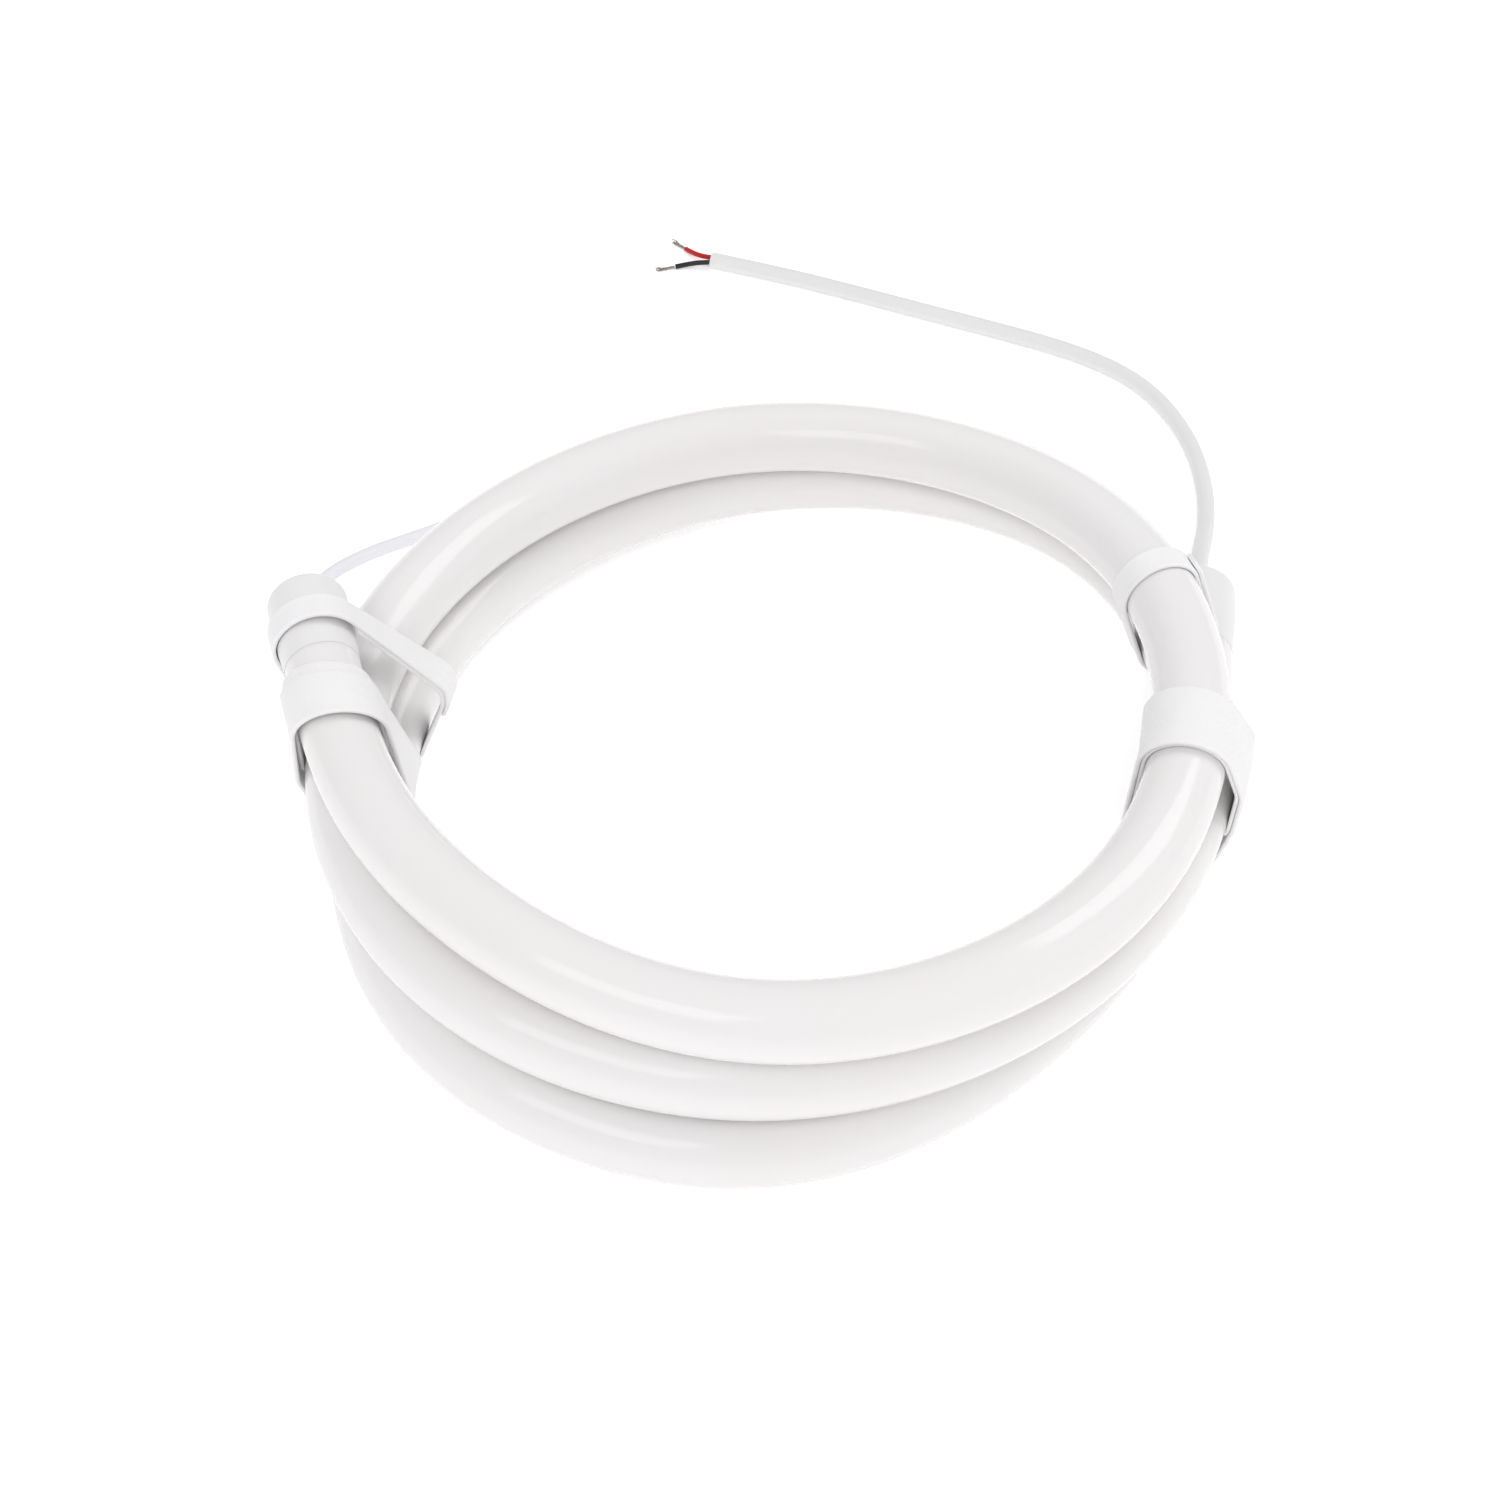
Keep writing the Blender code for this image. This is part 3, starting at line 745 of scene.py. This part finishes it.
def bare_end(prefix, line, sizes, diameter, spread, finishes):
    """Two insulated cores out of the jacket's cut end, each with its bared strands."""
    end = line[-1]
    ahead = unit(line[-1] - line[-2])
    beside = np.array((-ahead[1], ahead[0], 0.0))
    pieces = []
    for label, turn, finish in (("red", -1, finishes[0]), ("black", 1, finishes[1])):
        start = end + ahead * TOUCH_GAP + beside * turn * CORE_OFFSET * diameter
        start[2] = diameter / 2
        bare = sizes.core_length
        tip = start + ahead * bare + beside * turn * spread * bare
        bend = start + (ahead * CORE_BEND_RUN + beside * turn * spread * CORE_BEND_SPREAD) * bare
        tip[2] = sizes.core_diameter / 2
        bend[2] = (start[2] + tip[2]) / 2
        core = smooth_course([start, bend, tip], CORE_POINTS)
        core[:, 2] = np.maximum(core[:, 2], sizes.core_diameter / 2)
        name = prefix + "_" + label
        insulation = cord_curve(name + "_insulation", core, sizes.core_diameter, CORE_FINENESS)
        pieces.append(dress(insulation, finish, name + "_core"))
        on = unit(core[-1] - core[-2])
        bundle = strand_bundle(name + "_wires", core[-1] + on * TOUCH_GAP, on, sizes)
        pieces.append(dress(bundle, finishes[2], name + "_strands"))
    return pieces


def build_leads(context):
    """Both leads from their caps to their bared ends."""
    sizes = context.scene.neon_sizes
    colours = context.scene.neon_colours
    coil = coil_course(sizes)
    red = core_finish("red_insulation", colours.red, (0.50, 0.015, 0.012), 0.4)
    black = core_finish("black_insulation", colours.black, (0.03, 0.03, 0.03), 0.42)
    finishes = (red, black, metal_finish(colours))
    power_jacket = jacket_finish("power_jacket", colours.power, 0.97)
    link_jacket = jacket_finish("link_jacket", colours.link, 0.96)
    for prefix, back, outward, course, diameter, spread, jacket in (
            ("power", coil.line[-1], coil.out_right, POWER_COURSE, sizes.power_diameter,
             POWER_CORE_SPREAD, power_jacket),
            ("link", coil.line[0], coil.out_left, LINK_COURSE, sizes.link_diameter,
             LINK_CORE_SPREAD, link_jacket)):
        line = lead_line(back, outward, course, sizes, diameter)
        cable = cord_curve(prefix + "_cable", line, diameter, JACKET_FINENESS)
        lead = dress(cable, jacket, prefix + "_lead")
        pieces = bare_end(prefix, line, sizes, diameter, spread, finishes)


def build_tube(context):
    """The silicone tube, closed at both ends inside the caps."""
    sizes = context.scene.neon_sizes
    coil = coil_course(sizes)
    grip = sizes.cap_grip - TOUCH_GAP
    line = np.vstack([coil.bore[0] + coil.out_left * grip, coil.bore,
                      coil.bore[-1] + coil.out_right * grip])
    rows = round_rows(line, sizes.tube_diameter / 2, TUBE_SIDES)
    angles = np.linspace(0, 2 * math.pi, TUBE_SIDES, endpoint=False)
    skin = np.zeros(rows.shape)
    skin[..., 0] = np.cos(angles) * sizes.tube_diameter / 2
    skin[..., 1] = np.sin(angles) * sizes.tube_diameter / 2
    skin[..., 2] = knot_runs(line)[:, None]
    tube = skinned("silicone_tube", rows, "skin", skin)
    dress(tube, tube_finish(context.scene.neon_colours), "neon_tube")


def cap_profile(sizes, lead_radius):
    """Radius and distance from the back: bore, feathered lip, slight taper, rounded back, socket."""
    radius = sizes.cap_diameter / 2
    bore = sizes.tube_diameter / 2 + CAP_HUG
    floor = sizes.cap_length - sizes.cap_grip
    socket = lead_radius + TOUCH_GAP
    lip = 0.00003
    chamfer = 0.0005
    taper = sizes.cap_grip + 0.0025
    points = [(bore, floor), (bore, sizes.cap_length)]
    for share in np.linspace(0.0, 1.0, CAP_STEPS):
        points.append((bore + lip + (radius - bore - lip) * smoothstep(0.0, 1.0, share),
                       sizes.cap_length - share * taper))
    for angle in np.linspace(math.pi / 2, 0.0, CAP_STEPS):
        points.append((radius - sizes.cap_rounding * (1 - math.sin(angle)),
                       sizes.cap_rounding * (1 - math.cos(angle))))
    points += [(socket + 3 * chamfer, 0.0), (socket + chamfer, 0.0)]
    for angle in np.linspace(0.0, math.pi / 2, SOCKET_STEPS):
        points.append((socket + chamfer * (1 - math.sin(angle)), chamfer * (1 - math.cos(angle))))
    points.append((socket, sizes.socket_depth))
    return points


def build_caps(context):
    """The two moulded end caps, each with a faint parting line down both sides."""
    sizes = context.scene.neon_sizes
    coil = coil_course(sizes)
    seam_height = 0.00005
    seam_width = 0.03
    matt = cap_finish(context.scene.neon_colours)
    angles = np.linspace(0, 2 * math.pi, CAP_SIDES, endpoint=False)
    seam = seam_height * np.exp(-(np.sin(angles) / seam_width) ** 2)
    for name, back, inward, lead_diameter in (
            ("end_cap_left", coil.line[0], -coil.out_left, sizes.link_diameter),
            ("end_cap_right", coil.line[-1], -coil.out_right, sizes.power_diameter)):
        level, upright = level_and_upright(inward)
        spokes = np.cos(angles)[:, None] * level + np.sin(angles)[:, None] * upright
        rows = []
        for radius, depth in cap_profile(sizes, lead_diameter / 2):
            outside = radius > sizes.tube_diameter / 2 + 2 * TOUCH_GAP
            reach = np.full(CAP_SIDES, radius) + (seam if outside else 0.0)
            rows.append(back + inward * depth + spokes * reach[:, None])
        dress(skinned(name.replace("end_cap", "moulded_cap"), rows), matt, name)


def hull(points):
    """Convex outline of plane points, counter-clockwise."""
    ordered = sorted(map(tuple, points))

    def half(side):
        chain = []
        for x, y in side:
            while len(chain) > 1:
                (x0, y0), (x1, y1) = chain[-2:]
                if (x1 - x0) * (y - y0) - (y1 - y0) * (x - x0) > 0:
                    break
                chain.pop()
            chain.append((x, y))
        return chain[:-1]

    return np.array(half(ordered) + half(ordered[::-1]))


Plane = namedtuple("Plane", "centre side upward across")


def strap_plane(row, sizes):
    """Point on the floor under the loop, its outward and upward directions, and its normal."""
    lean = math.pi + 2 * math.pi * row.turn + math.radians(row.skew)
    side = np.array((math.cos(lean), math.sin(lean), 0.0))
    along = np.array((side[1], -side[0], 0.0))
    tip = math.radians(row.tilt)
    top = sizes.tube_diameter + 2 * (sizes.tube_diameter + LAYER_GAP)
    centre = on_coil(sizes, row.turn, 0.0, 0.0) + along * top * math.tan(tip)
    return Plane(centre, side, UP * math.cos(tip) - along * math.sin(tip),
                 along * math.cos(tip) + UP * math.sin(tip))


def strand_rings(plane, offset, row, coil, sizes):
    """Points round the held strands where the plane at this offset across the strap cuts them."""
    depth = (coil.line - plane.centre) @ plane.across - offset
    angles = np.linspace(0, 2 * math.pi, RING_POINTS, endpoint=False)[:, None]
    dots = []
    for i in np.flatnonzero(depth[:-1] * depth[1:] <= 0):
        share = depth[i] / (depth[i] - depth[i + 1])
        turn = coil.turns[i] + share * (coil.turns[i + 1] - coil.turns[i])
        if min(abs(turn - held) for held in row.strands) > STRAND_REACH_TURNS:
            continue
        place = coil.line[i] + share * (coil.line[i + 1] - coil.line[i])
        along = unit(coil.line[i + 1] - coil.line[i])
        level, upright = level_and_upright(along)
        in_cap = i in (0, len(coil.line) - 2)
        diameter = sizes.cap_diameter if in_cap else sizes.tube_diameter
        arms = np.cos(angles) * level + np.sin(angles) * upright
        arms *= diameter / 2 + STRAP_HUG + sizes.strap_thickness / 2
        slant = (arms @ plane.across) / (along @ plane.across)
        ring = place + arms - np.outer(slant, along) - plane.centre
        dots += list(zip(ring @ plane.side, ring @ plane.upward))
    return dots


def loose_bend(dots, stand_off, height):
    """A round bend of the strap clear of the strands: outwards, or inwards if stand_off is negative."""
    way = math.copysign(1, stand_off)
    middle = max(way * reach for reach, _ in dots) + abs(stand_off) - LOOSE_BEND_RADIUS
    return [(way * (middle + LOOSE_BEND_RADIUS * math.cos(angle)),
             height + LOOSE_BEND_RADIUS * math.sin(angle))
            for angle in np.linspace(-math.pi / 2, math.pi / 2, BEND_POINTS)]


def strap_loop(row, plane, offset, coil, sizes):
    """The tight closed course round the strands at this offset, flat where it lies on the floor."""
    dots = strand_rings(plane, offset, row, coil, sizes)
    if row.stand_off:
        dots += loose_bend(dots, row.stand_off, row.height)
    base = plane.centre + plane.across * offset
    floor = (sizes.strap_thickness / 2 - base[2]) / plane.upward[2]
    lowest = min(dots, key=lambda dot: dot[1])
    if lowest[1] < floor + sizes.strap_thickness / 2:
        dots = [(reach, max(height, floor)) for reach, height in dots]
        dots += [(lowest[0] + edge, floor) for edge in (-STRAP_FLAT / 2, STRAP_FLAT / 2)]
    outline = hull(dots)
    closed = np.vstack([outline, outline[:1]])
    arms = closed - (outline.min(axis=0) + outline.max(axis=0)) / 2
    angles = np.unwrap(np.arctan2(arms[:, 1], arms[:, 0]))
    run = knot_runs(closed)
    wanted = angles[0] + (math.radians(row.start) - angles[0]) % (2 * math.pi)
    return base, closed, run, np.interp(wanted, angles, run)


def strap_sheet(row, coil, sizes):
    """Places and outward directions of the strap's middle sheet: columns across it, then along."""
    plane = strap_plane(row, sizes)
    half = (row.width + abs(row.slide)) / 2
    offsets = np.linspace(-half, half, STRAP_COLUMNS)
    loops = [strap_loop(row, plane, offset, coil, sizes) for offset in offsets]
    total = np.mean([run[-1] for _, _, run, _ in loops])
    count = int(total * (1 + row.overlap) / STRAP_STEP)
    shares = np.linspace(0.0, 1 + row.overlap, count)
    rise = (sizes.strap_thickness + LAP_GAP) * smoothstep(RISE_START, RISE_START + RISE_SHARE, shares)
    places = np.zeros((STRAP_COLUMNS, count, 3))
    outward = np.zeros((STRAP_COLUMNS, count, 3))
    for j, (base, closed, run, first) in enumerate(loops):
        wrapped = (first + shares * run[-1]) % run[-1]
        flat = np.stack([np.interp(wrapped, run, closed[:, k]) for k in range(2)], axis=1)
        steps = np.gradient(flat, axis=0)
        steps /= np.linalg.norm(steps, axis=1)[:, None]
        normal = np.outer(steps[:, 1], plane.side) - np.outer(steps[:, 0], plane.upward)
        places[j] = base + np.outer(flat[:, 0], plane.side) + np.outer(flat[:, 1], plane.upward)
        places[j] += normal * rise[:, None]
        outward[j] = normal
    return offsets, places, outward, shares * total


def tape_section(half, thickness):
    """Offset across the tape and height above its middle, once round its flat section."""
    edge = thickness / 2
    selvedge = 0.0009
    swell = 0.00012
    across = np.linspace(-half + edge, half - edge, TAPE_FACE_POINTS)
    ridge = swell * np.exp(-((half - selvedge - np.abs(across)) / (0.5 * selvedge)) ** 2)
    turn = np.linspace(0.0, math.pi, TAPE_EDGE_POINTS)[1:-1]
    offsets = np.concatenate([across, half - edge + edge * np.sin(turn),
                              across[::-1], -half + edge - edge * np.sin(turn)])
    heights = np.concatenate([edge + ridge, edge * np.cos(turn), -edge * np.ones(len(across)),
                              -edge * np.cos(turn)])
    return offsets, heights


def build_strap(name, row, coil, sizes, finish):
    """A woven tape that goes round its strands and then over its own start."""
    offsets, places, outward, runs = strap_sheet(row, coil, sizes)
    section, heights = tape_section(row.width / 2, sizes.strap_thickness)
    rows = []
    band = []
    for i, run in enumerate(runs):
        slid = row.slide * (smoothstep(SLIDE_START, SLIDE_END, run / runs[-1] * (1 + row.overlap)) - 0.5)
        inside = max(0.0, END_ROUNDING - min(run, runs[-1] - run))
        narrowed = END_ROUNDING - math.sqrt(max(0.0, END_ROUNDING ** 2 - inside ** 2))
        share = 1 - narrowed / (row.width / 2)
        across = section * share - slid
        place = np.stack([np.interp(across, offsets, places[:, i, k]) for k in range(3)], axis=1)
        normal = np.stack([np.interp(across, offsets, outward[:, i, k]) for k in range(3)], axis=1)
        peel = PEEL_LIFT * smoothstep(PEEL_RUN, 0.0, runs[-1] - run)
        rows.append(place + normal * (heights + peel)[:, None])
        band.append(np.stack([np.full(len(section), run), section, np.sign(heights)], axis=1))
    strap = skinned(name.replace("strap", "tie"), rows, "band", np.array(band))
    dress(strap, finish, name)


def build_straps(context):
    """The four tie straps, each over its own strands."""
    sizes = context.scene.neon_sizes
    coil = coil_course(sizes)
    for name, row in STRAPS.items():
        finish = woven_finish(context.scene.neon_colours, name + "_weave", row.width / 2)
        build_strap(name, row, coil, sizes, finish)


class NEON_OT_finishes(bpy.types.Operator):
    """Make the node groups that the finishes share"""
    bl_idname = "neon.finishes"
    bl_label = "Make shared finishes"

    def execute(self, context):
        for make in (make_drift_group, make_skin_group, make_drawn_group, make_weave_group):
            make()
        return {"FINISHED"}


class NEON_OT_stage(bpy.types.Operator):
    """Add the floor, the camera and the lights"""
    bl_idname = "neon.stage"
    bl_label = "Add stage"

    def execute(self, context):
        build_stage(context)
        return {"FINISHED"}


class NEON_OT_leads(bpy.types.Operator):
    """Add both leads with their bared cores and strands"""
    bl_idname = "neon.leads"
    bl_label = "Add leads"

    def execute(self, context):
        build_leads(context)
        return {"FINISHED"}


class NEON_OT_tube(bpy.types.Operator):
    """Add the coiled silicone tube"""
    bl_idname = "neon.tube"
    bl_label = "Add tube"

    def execute(self, context):
        build_tube(context)
        return {"FINISHED"}


class NEON_OT_caps(bpy.types.Operator):
    """Add the two end caps"""
    bl_idname = "neon.caps"
    bl_label = "Add end caps"

    def execute(self, context):
        build_caps(context)
        return {"FINISHED"}


class NEON_OT_straps(bpy.types.Operator):
    """Add the four tie straps"""
    bl_idname = "neon.straps"
    bl_label = "Add tie straps"

    def execute(self, context):
        build_straps(context)
        return {"FINISHED"}


STEPS = (NEON_OT_finishes, NEON_OT_stage, NEON_OT_leads, NEON_OT_tube, NEON_OT_caps, NEON_OT_straps)


class NEON_PT_panel(bpy.types.Panel):
    """Sizes, colours and steps of the neon flex"""
    bl_idname = "NEON_PT_panel"
    bl_label = "Neon flex"
    bl_space_type = "VIEW_3D"
    bl_region_type = "UI"
    bl_category = "Neon flex"

    def draw(self, context):
        for settings in (context.scene.neon_sizes, context.scene.neon_colours, context.scene.neon_stage):
            box = self.layout.box()
            for label in settings.__annotations__:
                box.prop(settings, label)
        for step in STEPS:
            self.layout.operator(step.bl_idname)


GROUPS = (("neon_sizes", NEON_PG_sizes), ("neon_colours", NEON_PG_colours), ("neon_stage", NEON_PG_stage))


def register():
    for label, group in GROUPS:
        bpy.utils.register_class(group)
        setattr(bpy.types.Scene, label, PointerProperty(type=group))
    for cls in (*STEPS, NEON_PT_panel):
        bpy.utils.register_class(cls)


def unregister():
    for cls in reversed((*STEPS, NEON_PT_panel)):
        bpy.utils.unregister_class(cls)
    for label, group in reversed(GROUPS):
        delattr(bpy.types.Scene, label)
        bpy.utils.unregister_class(group)


def main():
    register()
    bpy.ops.neon.finishes()
    bpy.ops.neon.stage()
    bpy.ops.neon.leads()
    bpy.ops.neon.tube()
    bpy.ops.neon.caps()
    bpy.ops.neon.straps()


if __name__ == "__main__":
    main()
